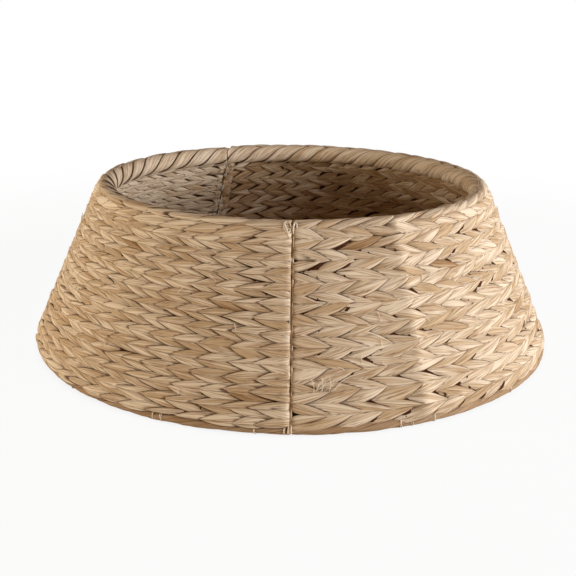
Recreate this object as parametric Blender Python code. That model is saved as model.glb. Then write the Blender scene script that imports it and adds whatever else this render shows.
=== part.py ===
"""Woven collar that stands round a christmas tree and hides its stand.

The collar is a low cone of twined water hyacinth on welded wire frames. It has
a right panel, a left panel that swings open about the back hinge, and a flap
that folds inward about the fold beside the front seam. Two tabs on the flap
hold the seam shut. Lengths are in metres. The origin is on the cone's axis, on
the floor, +Z is up and the seam faces -Y. Azimuths turn from the seam to the
right, as seen from the front.
"""

from math import asin, cos, pi, radians, sin, sqrt, tan

import bmesh
import bpy
from mathutils import Matrix, Vector

# Overall size
base_outer_radius = 0.350
widest_height = 0.018
collar_height = 0.216
wall_lean = radians(24.1)
wall_thickness = 0.018

# Joints: azimuth of each generator line and how far its child turns
fold_azimuth = radians(25.7)
fold_limit = radians(110)
swing_azimuth = radians(205.7)
swing_limit = radians(120)
seam_gap = 0.0015
hinge_clearance = 0.0006
seat_gap = 0.0003

# Welded wire frames
rail_wire_diameter = 0.005
stake_wire_diameter = 0.0035
rail_sides = 8
stake_sides = 6
right_bay_count = 10
left_bay_count = 9
flap_bay_count = 2
stations_per_bay = 2

# Woven wall, with one rib for each course of paired strands: the left panel's strands are finer
broad_course_count = 9
fine_course_count = 13
broad_relief = 0.0025
fine_relief = 0.0018
foot_round_shares = ((0.55, 0), (0.88, 0.22), (1, 0.75))

# Rim braid, rolled over the top rail
rim_radius = 0.013
rim_inset = 0.0015
rim_skirt = 0.010
rim_end_wrap_length = 0.007
rim_arc_steps = 6

# Binding strand under the bottom rail
binding_diameter = 0.009
binding_lip = 0.0035
binding_sides = 8
trough_steps = 4

# Hinge rings, three on each hinge
ring_wire_diameter = 0.0025
ring_height_shares = (0.16, 0.5, 0.84)
ring_arc_steps = 5
ring_sides = 6

# Tabs of hook-and-loop tape inside the seam
tab_width = 0.040
tab_thickness = 0.0015
tab_overlap = 0.036
tab_axis_offset = 0.003
tab_base_length = 0.026
tab_step = 0.009
patch_thickness = 0.0012
patch_margin = 0.003
tab_height_shares = (0.24, 0.76)

# Cutters
cut_overrun = 0.006
arc_step = radians(20)
sharp_angle = radians(35)

# Sizes that follow from the ones above
half_wall = wall_thickness / 2
rail_radius = rail_wire_diameter / 2
stake_radius = stake_wire_diameter / 2
binding_radius = binding_diameter / 2
ring_wire_radius = ring_wire_diameter / 2
channel_half = rail_radius + seat_gap
foot_radius = base_outer_radius + widest_height * tan(wall_lean)
rim_normal = half_wall - rim_inset - rim_radius
loop_radius = rail_radius + seat_gap + ring_wire_radius
loop_reach = loop_radius + ring_wire_radius
parent_upright = wall_thickness
seam_upright = half_wall + seam_gap / 2
cut_reach = abs(rim_normal) + rim_radius + cut_overrun


def section(slant, normal):
    """Radius and height of a point: distance up the wall and distance out of its middle."""
    outward = normal - half_wall
    radius = foot_radius - slant * sin(wall_lean) + outward * cos(wall_lean)
    height = slant * cos(wall_lean) + outward * sin(wall_lean)
    return radius, height


def facet_dip(turn, bays):
    """How far the flat facets of a panel dip inside the circle, given the panel's turn."""
    return base_outer_radius * (1 - cos(turn / (2 * bays * stations_per_bay)))


def slant_at(height, normal):
    """Distance up the wall of the point that lies at a height."""
    return (height - (normal - half_wall) * sin(wall_lean)) / cos(wall_lean)


bottom_slant = slant_at(binding_radius, 0)
top_slant = slant_at(collar_height - rim_radius, rim_normal)
weave_low = bottom_slant + binding_lip + seat_gap
rim_underside = top_slant - rim_skirt
weave_high = rim_underside - seat_gap
upright_length = top_slant - bottom_slant
flap_dip = facet_dip(fold_azimuth, flap_bay_count)
left_dip = facet_dip(2 * pi - swing_azimuth, left_bay_count)


def ring_point(azimuth, along, radius, height):
    """A point of the collar, shifted along its own circle from an azimuth."""
    turn = azimuth + along / radius
    return Vector((radius * sin(turn), -radius * cos(turn), height))


def wall_point(azimuth, along, slant, normal):
    """A point of the wall in its own directions."""
    return ring_point(azimuth, along, *section(slant, normal))


def wall_axes(azimuth):
    """Unit vectors along the circle, out of the wall and up the wall."""
    tangent = Vector((cos(azimuth), sin(azimuth), 0))
    outward = Vector((cos(wall_lean) * sin(azimuth), -cos(wall_lean) * cos(azimuth), sin(wall_lean)))
    upward = Vector((-sin(wall_lean) * sin(azimuth), sin(wall_lean) * cos(azimuth), cos(wall_lean)))
    return tangent, outward, upward


def clear_scene():
    """Take everything out of the scene."""
    for old in list(bpy.data.objects):
        bpy.data.objects.remove(old, do_unlink=True)


def make_material(name, colour, roughness, metallic=0.0):
    """A Principled material."""
    material = bpy.data.materials.new(name)
    material.use_nodes = True
    shader = material.node_tree.nodes["Principled BSDF"]
    shader.inputs["Base Color"].default_value = (*colour, 1)
    shader.inputs["Roughness"].default_value = roughness
    shader.inputs["Metallic"].default_value = metallic
    return material


def add_object(name, shape, material=None, smooth=True):
    """Turn a bmesh into a named object with outward faces."""
    bmesh.ops.recalc_face_normals(shape, faces=shape.faces[:])
    mesh = bpy.data.meshes.new(name)
    shape.to_mesh(mesh)
    shape.free()
    built = bpy.data.objects.new(name, mesh)
    bpy.context.scene.collection.objects.link(built)
    if material:
        mesh.materials.append(material)
        if smooth:
            mesh.shade_smooth()
            mesh.set_sharp_from_angle(angle=sharp_angle)
    return built


def as_cutter(built):
    """Mark an object as a guide that only cuts or joins others."""
    built.hide_render = True
    built.display_type = "WIRE"
    return built


def combine(target, cutter, operation):
    """Join a cutter to an object, or take it away from it."""
    modifier = target.modifiers.new(cutter.name, "BOOLEAN")
    modifier.operation = operation
    modifier.solver = "EXACT"
    modifier.object = cutter


def skin(shape, rings, closed=False):
    """Join rings of points with faces, and cap the ends of an open run."""
    loops = [[shape.verts.new(point) for point in ring] for ring in rings]
    pairs = list(zip(loops, loops[1:]))
    if closed:
        pairs.append((loops[-1], loops[0]))
    faces = []
    for before, after in pairs:
        for index in range(len(before)):
            follower = (index + 1) % len(before)
            faces.append(shape.faces.new((before[index], before[follower], after[follower], after[index])))
    if not closed:
        faces.append(shape.faces.new(loops[0][::-1]))
        faces.append(shape.faces.new(loops[-1]))
    bmesh.ops.triangulate(shape, faces=faces, ngon_method="EAR_CLIP")


def swept(shape, profile, stations):
    """Carry a profile of radii and heights round the collar's stations."""
    skin(shape, [[ring_point(*station, *corner) for corner in profile] for station in stations])


def bar(shape, start, end, radius, sides):
    """A straight round bar between two points, its corners clear of the plane of its azimuth."""
    along = (end - start).normalized()
    across = along.cross(Vector((0, 0, 1))).normalized()
    third = along.cross(across)
    turns = [2 * pi * (side + 1 / 4) / sides for side in range(sides)]
    spokes = [radius * (cos(turn) * across + sin(turn) * third) for turn in turns]
    skin(shape, [[start + spoke for spoke in spokes], [end + spoke for spoke in spokes]])


def prism(shape, azimuth, outline, low, high):
    """Extrude an outline, in shifts along and out of the wall, up a generator line."""
    tangent, outward, upward = wall_axes(azimuth)
    foot = wall_point(azimuth, 0, 0, 0)
    spread = [foot + along * tangent + normal * outward for along, normal in outline]
    skin(shape, [[point + low * upward for point in spread], [point + high * upward for point in spread]])


def arc_outline(radius, start, end):
    """Depths and sides of an arc about an upright, from one side of the wall to the other."""
    steps = max(3, round((end - start) / arc_step))
    turns = [start + (end - start) * step / steps for step in range(steps + 1)]
    return [(radius * cos(turn), radius * sin(turn)) for turn in turns]


def child_outline(limit):
    """Edge of a hinge's moving side: round about its upright, mitred where it bulges past the wall."""
    bulge = half_wall + seat_gap
    mitre = tan(limit / 2)
    arc = [(-depth, side) for depth, side in arc_outline(half_wall, -pi / 2, pi / 2)]
    lead = [(seat_gap, -cut_reach), (seat_gap, -bulge)]
    tail = [(bulge * mitre + seat_gap, bulge), (cut_reach * mitre + seat_gap, cut_reach)]
    return lead + arc + tail


def parent_outline(limit):
    """Edge of a hinge's fixed side: a hollow seat, cut back where the moving side folds."""
    seat = half_wall + hinge_clearance
    mitre = tan(limit / 2)
    arc = arc_outline(seat, -asin(half_wall / seat), pi / 2 - limit)
    lead = [(seat_gap, -cut_reach), (seat_gap, -half_wall - seat_gap)]
    tail = [(side * mitre + hinge_clearance, side) for side in (half_wall, cut_reach)]
    return lead + arc + tail


def seam_outline():
    """Edge of a panel at the seam: round about its upright, and set back where it bulges."""
    bulge = half_wall + seat_gap
    arc = [(seam_upright - depth, side) for depth, side in arc_outline(half_wall, -pi / 2, pi / 2)]
    lead = [(seam_upright, -cut_reach), (seam_upright, -bulge)]
    tail = [(seam_upright, bulge), (seam_upright, cut_reach)]
    return lead + arc + tail


def end_cutter(name, azimuth, toward, closing, edge):
    """A prism that cuts a panel back to an edge, given the side kept and the side that folds."""
    back = -(parent_upright + cut_overrun)
    outline = [(back, edge[0][1])] + edge + [(back, edge[-1][1])]
    outline = [(toward * along, closing * normal) for along, normal in outline]
    shape = bmesh.new()
    prism(shape, azimuth, outline, -cut_reach, top_slant + 2 * cut_reach)
    return as_cutter(add_object(name, shape))


class Panel:
    """One panel: where it starts and ends, where its end uprights stand and its weave."""

    def __init__(self, name, span, upright_shifts, bays, weave):
        self.name = name
        self.weave = weave
        start, end = span
        start_upright, end_upright = upright_shifts
        steps = bays * stations_per_bay
        middle = [(start + (end - start) * step / steps, 0) for step in range(1, steps)]
        self.uprights = [(start, start_upright), (end, -end_upright)]
        self.wires = [(start + (end - start) * bay / bays, 0) for bay in range(1, bays)]
        weld = rail_radius / 2
        self.rail_stations = [(start, start_upright + weld)] + middle + [(end, -end_upright - weld)]
        reach = parent_upright + cut_overrun / 2
        first, last = (start, start_upright - reach), (end, reach - end_upright)
        self.sheet_stations = [first] + self.rail_stations + [last]


def rail_profile(slant):
    """Round section of a rail."""
    radius, height = section(slant, 0)
    turns = [2 * pi * (side + 0.5) / rail_sides for side in range(rail_sides)]
    return [(radius + rail_radius * cos(turn), height + rail_radius * sin(turn)) for turn in turns]


def bars_of(panel, extra, overrun):
    """Every upright and wire of a panel, each grown by a clearance."""
    shape = bmesh.new()
    thick = [(place, rail_radius, rail_sides) for place in panel.uprights]
    thin = [(place, stake_radius, stake_sides) for place in panel.wires]
    for place, radius, sides in thick + thin:
        low = wall_point(*place, bottom_slant - overrun, 0)
        high = wall_point(*place, top_slant + overrun, 0)
        bar(shape, low, high, radius + extra, sides)
    return shape


def build_frame(panel, material):
    """Two rails, end uprights and wires, welded into one piece."""
    shape = bmesh.new()
    swept(shape, rail_profile(top_slant), panel.rail_stations)
    frame = add_object(panel.name + "_wire_frame", shape, material)
    bars = as_cutter(add_object(panel.name + "_bars", bars_of(panel, 0, 0)))
    shape = bmesh.new()
    swept(shape, rail_profile(bottom_slant), panel.rail_stations)
    lower = as_cutter(add_object(panel.name + "_lower_rail", shape))
    combine(frame, bars, "UNION")
    combine(frame, lower, "UNION")
    return frame


def weave_profile(courses, relief):
    """Section of the woven wall, one shallow rib for each course on both faces."""
    pitch = (weave_high - weave_low) / courses
    outer = [(weave_low + rise * half_wall, spread * half_wall) for spread, rise in foot_round_shares]
    for course in range(courses):
        if course:
            outer.append((weave_low + course * pitch, half_wall - relief))
            outer.append((weave_low + (course + 1 / 2) * pitch, half_wall))
    outer.append((weave_high, half_wall - relief))
    inner = [(slant, -normal) for slant, normal in reversed(outer)]
    return [section(*corner) for corner in outer + inner]


def rim_profile():
    """Section of the rim: a roll with a channel for the top rail and the wires."""
    turns = [pi * step / rim_arc_steps for step in range(rim_arc_steps + 1)]
    roll = [(top_slant + rim_radius * sin(turn), rim_normal + rim_radius * cos(turn)) for turn in turns]
    under = rim_normal - sqrt(rim_radius**2 - rim_skirt**2)
    inner_foot = [(rim_underside, under), (rim_underside, -channel_half)]
    channel = [(top_slant + channel_half, -channel_half), (top_slant + channel_half, channel_half)]
    outer_foot = [(rim_underside, channel_half), (rim_underside, rim_normal + rim_radius)]
    return [section(*corner) for corner in roll + inner_foot + channel + outer_foot]


def binding_profile():
    """Section of the binding: a flat-footed trough that holds the bottom rail."""
    radius, height = section(bottom_slant, 0)
    corner_radius = binding_radius / cos(pi / binding_sides)
    corners = [-pi * (2 * side + 1) / binding_sides for side in range(binding_sides // 2)]
    foot = [(radius + corner_radius * cos(turn), height + corner_radius * sin(turn)) for turn in corners]
    turns = [pi * step / trough_steps for step in range(trough_steps + 1)]
    trough = [section(bottom_slant - channel_half * sin(turn), -channel_half * cos(turn)) for turn in turns]
    top = bottom_slant + binding_lip
    inner_tips = [section(top, -binding_radius), section(top, -channel_half)]
    outer_tips = [section(top, channel_half), section(top, binding_radius)]
    return foot + inner_tips + trough + outer_tips


def build_sheet(name, profile, stations, material, cutters):
    """A swept piece of a panel with the cuts at its ends."""
    shape = bmesh.new()
    swept(shape, profile, stations)
    piece = add_object(name, shape, material)
    for cutter in cutters:
        combine(piece, cutter, "DIFFERENCE")
    return piece


def build_ring(name, azimuth, toward, slant, material):
    """A closed wire loop round the two uprights of a hinge."""
    moving = wall_point(azimuth, 0, slant, 0)
    fixed = wall_point(azimuth, -toward * parent_upright, slant, 0)
    upward = wall_axes(azimuth)[2]
    reach = (moving - fixed) - (moving - fixed).dot(upward) * upward
    fixed = moving - reach
    away = reach.normalized()
    across = upward.cross(away)
    path = []
    for centre, first in ((moving, -pi / 2), (fixed, pi / 2)):
        for step in range(ring_arc_steps + 1):
            turn = first + pi * step / ring_arc_steps
            path.append((centre, cos(turn) * away + sin(turn) * across))
    turns = [2 * pi * side / ring_sides for side in range(ring_sides)]
    rings = []
    for centre, spoke in path:
        middle = centre + loop_radius * spoke
        spread = [cos(turn) * spoke + sin(turn) * upward for turn in turns]
        rings.append([middle + ring_wire_radius * arm for arm in spread])
    shape = bmesh.new()
    skin(shape, rings, closed=True)
    return add_object(name, shape, material)


def ring_pockets(name, azimuth, toward, limit):
    """Slots in both sides of a hinge, wide enough for its rings at every angle."""
    depth = half_wall / tan(pi - limit) + loop_reach / sin(limit) + hinge_clearance
    back = parent_upright + loop_reach + hinge_clearance
    half_height = ring_wire_radius + hinge_clearance
    outline = [(-back, -cut_reach), (depth, -cut_reach), (depth, cut_reach), (-back, cut_reach)]
    outline = [(toward * along, normal) for along, normal in outline]
    shape = bmesh.new()
    for share in ring_height_shares:
        middle = bottom_slant + share * upright_length
        prism(shape, azimuth, outline, middle - half_height, middle + half_height)
    return as_cutter(add_object(name, shape))


def tape(name, span, layer, middle, width, material):
    """A flat strip inside the wall, given its shifts from the seam and the faces of its layer."""
    start, end = span
    inner, outer = layer
    low, high = middle - width / 2, middle + width / 2
    corners = [(low, outer), (high, outer), (high, inner), (low, inner)]
    steps = max(2, round(abs(end - start) / tab_step))
    stations = [(0, start + (end - start) * step / steps) for step in range(steps + 1)]
    shape = bmesh.new()
    swept(shape, [section(*corner) for corner in corners], stations)
    return add_object(name, shape, material, smooth=False)


def axis_empty(name, azimuth, along, slant, normal, parent=None):
    """An empty on a joint's axis, its own Z axis down the wall."""
    tangent, outward, upward = wall_axes(azimuth)
    turn = Matrix((tangent, outward, -upward)).transposed().to_4x4()
    empty = bpy.data.objects.new(name, None)
    bpy.context.scene.collection.objects.link(empty)
    place = Matrix.Translation(wall_point(azimuth, along, slant, normal)) @ turn
    attach(empty, parent, place)
    return empty


def attach(piece, parent, place=None):
    """Hang a piece from an axis, if it has one, without moving it."""
    if parent:
        piece.parent = parent
        bpy.context.view_layer.update()
        piece.matrix_parent_inverse = parent.matrix_world.inverted()
    if place:
        piece.matrix_basis = place
    bpy.context.view_layer.update()


def say_axis(axis):
    """Print where a joint's axis lies and the way it points."""
    place = [round(value, 5) for value in axis.matrix_world.translation]
    direction = [round(value, 5) for value in axis.matrix_world.col[2].xyz]
    print(axis.name, place, direction)


def build_tab(name, share, fold_axis, left_axis, materials):
    """A tab: base on the flap, hinged strap with its hook patch, loop patch on the left panel."""
    middle = bottom_slant + share * upright_length
    base_face = -half_wall - flap_dip - seat_gap
    loop_face = -half_wall - left_dip - seat_gap
    loop_inner = loop_face - patch_thickness
    hook_outer = loop_inner - seat_gap
    hook_inner = hook_outer - patch_thickness
    strap_outer = hook_inner - seat_gap
    strap_inner = strap_outer - tab_thickness
    base_start = tab_axis_offset + tab_thickness / 2 + seat_gap
    base_span = (base_start, base_start + tab_base_length)
    strap_span = (tab_axis_offset, -tab_overlap)
    patch_span = (-seam_upright, patch_margin - tab_overlap)
    patch_width = tab_width - 2 * patch_margin
    base_layer, strap_layer = (strap_inner, base_face), (strap_inner, strap_outer)
    loop_layer, hook_layer = (loop_inner, loop_face), (hook_inner, hook_outer)
    base = tape(name + "_base", base_span, base_layer, middle, tab_width, materials["tape"])
    strap = tape(name + "_strap", strap_span, strap_layer, middle, tab_width, materials["tape"])
    loop = tape(name + "_loop_patch", patch_span, loop_layer, middle, patch_width, materials["loops"])
    hook = tape(name + "_hook_patch", patch_span, hook_layer, middle, patch_width, materials["hooks"])
    strap_middle = (strap_inner + strap_outer) / 2
    peel_axis = axis_empty(name + "_peel_axis", 0, tab_axis_offset, middle, strap_middle, fold_axis)
    attach(base, fold_axis)
    attach(loop, left_axis)
    attach(strap, peel_axis)
    attach(hook, peel_axis)
    say_axis(peel_axis)


def build_panel(panel, cutters, pockets, axis, materials, wrap_end=None):
    """Frame, woven wall, rim braid and binding of one panel."""
    name = panel.name
    bores = as_cutter(add_object(name + "_bores", bars_of(panel, seat_gap, cut_overrun)))
    stations = panel.sheet_stations
    openings = cutters + [bores] + pockets
    pieces = [
        build_frame(panel, materials["wire"]),
        build_sheet(name + "_weave", panel.weave, stations, materials["weave"], openings),
        build_sheet(name + "_bottom_binding", binding_profile(), stations, materials["binding"], cutters),
    ]
    if wrap_end is not None:
        pieces.append(build_end_wrap(panel, wrap_end, cutters, materials["wrap"]))
        stations = trimmed_stations(panel, wrap_end)
    pieces.append(build_sheet(name + "_rim_braid", rim_profile(), stations, materials["rim"], cutters))
    for piece in pieces:
        attach(piece, axis)


def trimmed_stations(panel, wrap_end):
    """Stations of a rim that stops short of the wrap at its seam end."""
    stations = panel.sheet_stations
    azimuth = stations[wrap_end][0]
    stop = seam_upright + rim_end_wrap_length + seat_gap
    if wrap_end == 0:
        return [(azimuth, stop)] + stations[2:]
    return stations[:-2] + [(azimuth, -stop)]


def build_end_wrap(panel, wrap_end, cutters, material):
    """Strand wound over the rim's end beside the seam."""
    azimuth = panel.sheet_stations[wrap_end][0]
    inward = 1 if wrap_end == 0 else -1
    start = (azimuth, -inward * cut_overrun)
    middle = (azimuth, inward * seam_upright)
    stop = (azimuth, inward * (seam_upright + rim_end_wrap_length))
    stations = [start, middle, stop] if wrap_end == 0 else [stop, middle, start]
    return build_sheet(panel.name + "_rim_end_wrap", rim_profile(), stations, material, cutters)


def build_hinge(name, azimuth, toward, material):
    """The three rings of one hinge, carried by the right panel."""
    for index, share in enumerate(ring_height_shares):
        label = ("lower", "middle", "upper")[index]
        middle = bottom_slant + share * upright_length
        build_ring(f"{name}_{label}_ring", azimuth, toward, middle, material)


def make_materials():
    """Plant fibre, wire and tape, one material for each kind of piece."""
    return {
        "weave": make_material("woven hyacinth", (0.56, 0.39, 0.22), 0.75),
        "rim": make_material("rim strand", (0.62, 0.45, 0.27), 0.72),
        "binding": make_material("binding strand", (0.44, 0.29, 0.16), 0.78),
        "wrap": make_material("end wrap strand", (0.68, 0.52, 0.34), 0.70),
        "wire": make_material("frame wire", (0.10, 0.08, 0.07), 0.50, 0.9),
        "ring": make_material("ring wire", (0.30, 0.27, 0.24), 0.40, 1.0),
        "tape": make_material("tab tape", (0.30, 0.22, 0.15), 0.85),
        "hooks": make_material("hook patch", (0.16, 0.12, 0.09), 0.60),
        "loops": make_material("loop patch", (0.24, 0.18, 0.13), 0.95),
    }


def main():
    """Build the whole collar."""
    clear_scene()
    materials = make_materials()
    middle_slant = bottom_slant + upright_length / 2
    fold_axis = axis_empty("flap_fold_axis", fold_azimuth, 0, middle_slant, 0)
    left_axis = axis_empty("left_panel_swing_axis", swing_azimuth, 0, middle_slant, 0)

    fold_fixed = end_cutter("fold_fixed_edge", fold_azimuth, 1, -1, parent_outline(fold_limit))
    fold_moving = end_cutter("fold_moving_edge", fold_azimuth, -1, -1, child_outline(fold_limit))
    swing_fixed = end_cutter("swing_fixed_edge", swing_azimuth, -1, 1, parent_outline(swing_limit))
    swing_moving = end_cutter("swing_moving_edge", swing_azimuth, 1, 1, child_outline(swing_limit))
    seam_left = end_cutter("seam_left_edge", 0, -1, 1, seam_outline())
    seam_right = end_cutter("seam_flap_edge", 0, 1, 1, seam_outline())
    fold_pockets = ring_pockets("fold_ring_pockets", fold_azimuth, -1, fold_limit)
    swing_pockets = ring_pockets("swing_ring_pockets", swing_azimuth, 1, swing_limit)

    broad = weave_profile(broad_course_count, broad_relief)
    fine = weave_profile(fine_course_count, fine_relief)
    right_span, right_shifts = (fold_azimuth, swing_azimuth), (parent_upright, parent_upright)
    right = Panel("right", right_span, right_shifts, right_bay_count, broad)
    left = Panel("left", (swing_azimuth, 2 * pi), (0, seam_upright), left_bay_count, fine)
    flap = Panel("flap", (0, fold_azimuth), (seam_upright, 0), flap_bay_count, broad)
    build_panel(right, [fold_fixed, swing_fixed], [fold_pockets, swing_pockets], None, materials)
    build_panel(left, [swing_moving, seam_left], [swing_pockets], left_axis, materials, wrap_end=-1)
    build_panel(flap, [seam_right, fold_moving], [fold_pockets], fold_axis, materials, wrap_end=0)
    build_hinge("fold", fold_azimuth, -1, materials["ring"])
    build_hinge("swing", swing_azimuth, 1, materials["ring"])
    for name, share in zip(("lower_tab", "upper_tab"), tab_height_shares):
        build_tab(name, share, fold_axis, left_axis, materials)
    for axis in (fold_axis, left_axis):
        say_axis(axis)


main()
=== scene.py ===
"""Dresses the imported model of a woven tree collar: strands, rolled rim, binding, tabs, wire and stage."""

from collections import namedtuple
from math import cos, pi, radians, sin, sqrt

import bpy
import numpy as np
from mathutils import Matrix, Vector


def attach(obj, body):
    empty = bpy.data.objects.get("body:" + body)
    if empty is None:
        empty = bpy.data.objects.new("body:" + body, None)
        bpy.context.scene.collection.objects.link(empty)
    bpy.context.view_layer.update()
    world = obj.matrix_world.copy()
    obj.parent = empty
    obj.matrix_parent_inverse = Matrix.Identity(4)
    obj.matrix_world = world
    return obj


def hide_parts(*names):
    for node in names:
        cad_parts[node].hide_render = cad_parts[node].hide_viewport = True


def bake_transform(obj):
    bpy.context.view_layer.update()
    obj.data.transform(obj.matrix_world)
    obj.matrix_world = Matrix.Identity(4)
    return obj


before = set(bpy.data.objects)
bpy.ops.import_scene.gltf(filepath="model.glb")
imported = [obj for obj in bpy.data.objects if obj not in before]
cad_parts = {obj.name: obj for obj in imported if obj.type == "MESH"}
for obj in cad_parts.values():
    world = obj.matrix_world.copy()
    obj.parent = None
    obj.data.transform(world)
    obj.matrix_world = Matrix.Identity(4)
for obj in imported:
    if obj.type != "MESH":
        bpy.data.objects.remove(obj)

bl_info = {
    "name": "Woven Tree Collar",
    "version": (1, 0, 0),
    "blender": (4, 5, 0),
    "location": "View3D > Sidebar > Collar",
    "description": "Twined strands, rim, binding, tabs and wire on the frame of a tree collar",
    "category": "Object",
}

# The wall's own shape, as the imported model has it, in metres and radians
wall_lean = radians(24.1)
half_wall = 0.009
foot_radius = 0.35805
weave_low = 0.01276
weave_high = 0.21857
rim_slant = 0.22887
rim_normal = -0.0055
binding_slant = 0.00896
fold_azimuth = radians(25.7)
swing_azimuth = radians(205.7)
seam_nose = 0.00845
ring_slants = (0.04414, 0.11891, 0.19367)
ring_room = 0.0019
tab_slants = (0.06174, 0.17608)
above_floor = 0.0004
full_turn = 2 * pi


def smooth(value):
    """A smooth step from 0 to 1."""
    value = np.clip(value, 0, 1)
    return value * value * (3 - 2 * value)


def drift(values, at):
    """Values that change smoothly from one whole number to the next, round a loop."""
    low = np.floor(at).astype(int)
    part = smooth(at - low)
    return values[low % len(values)] * (1 - part) + values[(low + 1) % len(values)] * part


def section(slant, normal):
    """Radius and height of points: distance up the wall and out of its middle."""
    outward = normal - half_wall
    radius = foot_radius - slant * sin(wall_lean) + outward * cos(wall_lean)
    return radius, slant * cos(wall_lean) + outward * sin(wall_lean)


def round_axis(turn, radius, height):
    """Points round the collar's axis. A turn of zero is at the front seam."""
    return np.stack([radius * np.sin(turn), -radius * np.cos(turn), height + 0 * turn], -1)


def wall_points(turn, slant, normal):
    """Points of the wall at some azimuths, distances up it and distances out of its middle."""
    return round_axis(turn, *section(slant, normal))


def rounded(angle, power):
    """A strand's section: a cosine with a flatter top the smaller the power."""
    return np.sign(np.cos(angle)) * np.abs(np.cos(angle)) ** power


def browned_and_shaded_edge(angle):
    """How far points round a strand's section lie on its edges, which are browned and also darkened as
    painted shade of the valleys between strands.
    """
    return smooth((np.abs(np.sin(angle)) - 0.8) / 0.2)


def off_floor(slant, normal):
    """Keeps points of the wall just above the floor."""
    return np.maximum(slant, (above_floor - (normal - half_wall) * sin(wall_lean)) / cos(wall_lean))


class Signal:
    """A socket of a material's nodes, so that sums on it are written as plain expressions."""

    def __init__(self, tree, socket=None):
        self.tree = tree
        self.socket = socket

    def node(self, kind, settings=(), values=(), output=0):
        """Adds a node: first its settings, then its sockets' values or links."""
        made = self.tree.nodes.new("ShaderNode" + kind)
        for name, value in dict(settings).items():
            setattr(made, name, value)
        for name, value in dict(values).items():
            if isinstance(value, Signal):
                self.tree.links.new(value.socket, made.inputs[name])
            else:
                made.inputs[name].default_value = value
        return Signal(self.tree, made.outputs[output] if made.outputs else None)

    def reckon(self, operation, *terms):
        """The result of a Math node."""
        return self.node("Math", {"operation": operation}, dict(enumerate(terms)))

    def __add__(self, other):
        return self.reckon("ADD", self, other)

    def __radd__(self, other):
        return self.reckon("ADD", other, self)

    def __sub__(self, other):
        return self.reckon("SUBTRACT", self, other)

    def __rsub__(self, other):
        return self.reckon("SUBTRACT", other, self)

    def __mul__(self, other):
        return self.reckon("MULTIPLY", self, other)

    def __rmul__(self, other):
        return self.reckon("MULTIPLY", other, self)

    def clamped(self):
        """This signal held between 0 and 1."""
        return self.node("Clamp", {}, {0: self})

    def ridged(self, sharpness):
        """Thin lines where this signal passes a half."""
        return (1 - self.reckon("ABSOLUTE", self - 0.5) * sharpness).clamped()

    def between(self, low, high):
        """Nought below the lower edge, one above the upper one, smooth between them."""
        edges = {"Value": self, "From Min": low, "From Max": high}
        return self.node("MapRange", {"interpolation_type": "SMOOTHSTEP"}, edges)

    def tint(self, start, end):
        """A colour between two, with this signal as the share of the second."""
        return self.node("Mix", {"data_type": "RGBA"}, {0: self, 6: start, 7: end}, 2)

    def stretched(self, scale):
        """This vector scaled by another."""
        return self.node("VectorMath", {"operation": "MULTIPLY"}, {0: self, 1: scale})

    def parts(self):
        """The three parts of this vector."""
        first = self.node("SeparateXYZ", {}, {0: self})
        return [first.beside(index) for index in range(3)]

    def beside(self, output):
        """Another output of the node that this signal comes from."""
        return Signal(self.tree, self.socket.node.outputs[output])

    def noise(self, scale, detail=2.0, roughness=0.5):
        """Noise over this vector."""
        values = {"Vector": self, "Scale": scale, "Detail": detail, "Roughness": roughness}
        return self.node("TexNoise", {}, values)


def start_material(name):
    """An empty material and its node tree."""
    material = bpy.data.materials.new(name)
    material.use_nodes = True
    material.node_tree.nodes.clear()
    return material, Signal(material.node_tree)


def close_material(tree, sockets):
    """The surface shader and the output."""
    tree.node("OutputMaterial", {}, {"Surface": tree.node("BsdfPrincipled", {}, sockets)})


def attribute(tree, name):
    """Values that the mesh holds at its points."""
    return tree.node("Attribute", {"attribute_name": name}, {}, 1)


def fibre_finish(name, colours, streak, relief):
    """Dried plant strand: fibres along it, each leaf its own tone, browned edges, and painted shade along
    crevices and in hollows.
    """
    material, tree = start_material(name)
    place = attribute(tree, "strand_place")
    tone, painted_shade_depth, edge = attribute(tree, "strand_shade").parts()
    along, across, apart = streak
    bands = place.stretched((along, across * 0.6, apart)).noise(1.0, 1.0, 0.5)
    fibres = place.stretched(streak).noise(1.0)
    hairs = place.stretched((along * 2, across * 3.2, apart)).noise(1.0, 2.0, 0.6)
    mottle = place.stretched((30, 90, 90)).noise(1.0)
    pale, middle, brown, dark = colours
    level = (tone - 0.5) * 1.2 + (bands - 0.5) * 3.0 + (hairs - 0.5) * 2.2 + 0.62
    colour = level.clamped().tint(middle, pale)
    aged = (1 - tone.between(0.02, 0.16)) * (bands.between(0.3, 0.62) * 0.6 + 0.1)
    aged = aged + mottle.between(0.58, 0.8) * 0.35
    lines = fibres.ridged(18) * 0.6 + hairs.between(0.44, 0.3) * 0.45
    colour = (aged + lines).clamped().tint(colour, brown)
    # Painted shade: edges are browned and darkened further as the shade of crevices between leaves, and
    # hollows are painted darker the lower they lie
    rim = edge.between(0.05, 0.9) * 0.9
    painted_hollow_shade = 1 - painted_shade_depth.between(0.08, 0.62)
    colour = (rim + painted_hollow_shade).clamped().tint(colour, dark)
    height = bands * 0.5 - fibres.ridged(14) * 0.5 + hairs * 0.5
    bump = tree.node("Bump", {}, {"Strength": 1.0, "Distance": relief, "Height": height})
    sockets = {"Base Color": colour, "Roughness": hairs * 0.16 + 0.62, "Normal": bump}
    close_material(tree, sockets | {"Specular IOR Level": 0.12})
    return material


def wire_finish(name, colour, worn, roughness):
    """Drawn wire with a thin dark coat, worn in patches."""
    material, tree = start_material(name)
    place = tree.node("TexCoord", {}, {}, 3)
    patches = place.noise(240.0, 4.0, 0.6)
    scratch = place.stretched((900, 900, 160)).noise(1.0, 3.0, 0.6)
    shade = patches.between(0.52, 0.66)
    bump = tree.node("Bump", {}, {"Strength": 0.5, "Distance": 0.0002, "Height": scratch})
    sockets = {"Base Color": shade.tint(colour, worn), "Roughness": scratch * 0.25 + roughness}
    close_material(tree, sockets | {"Metallic": shade * 0.3 + 0.6, "Normal": bump})
    return material


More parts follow.
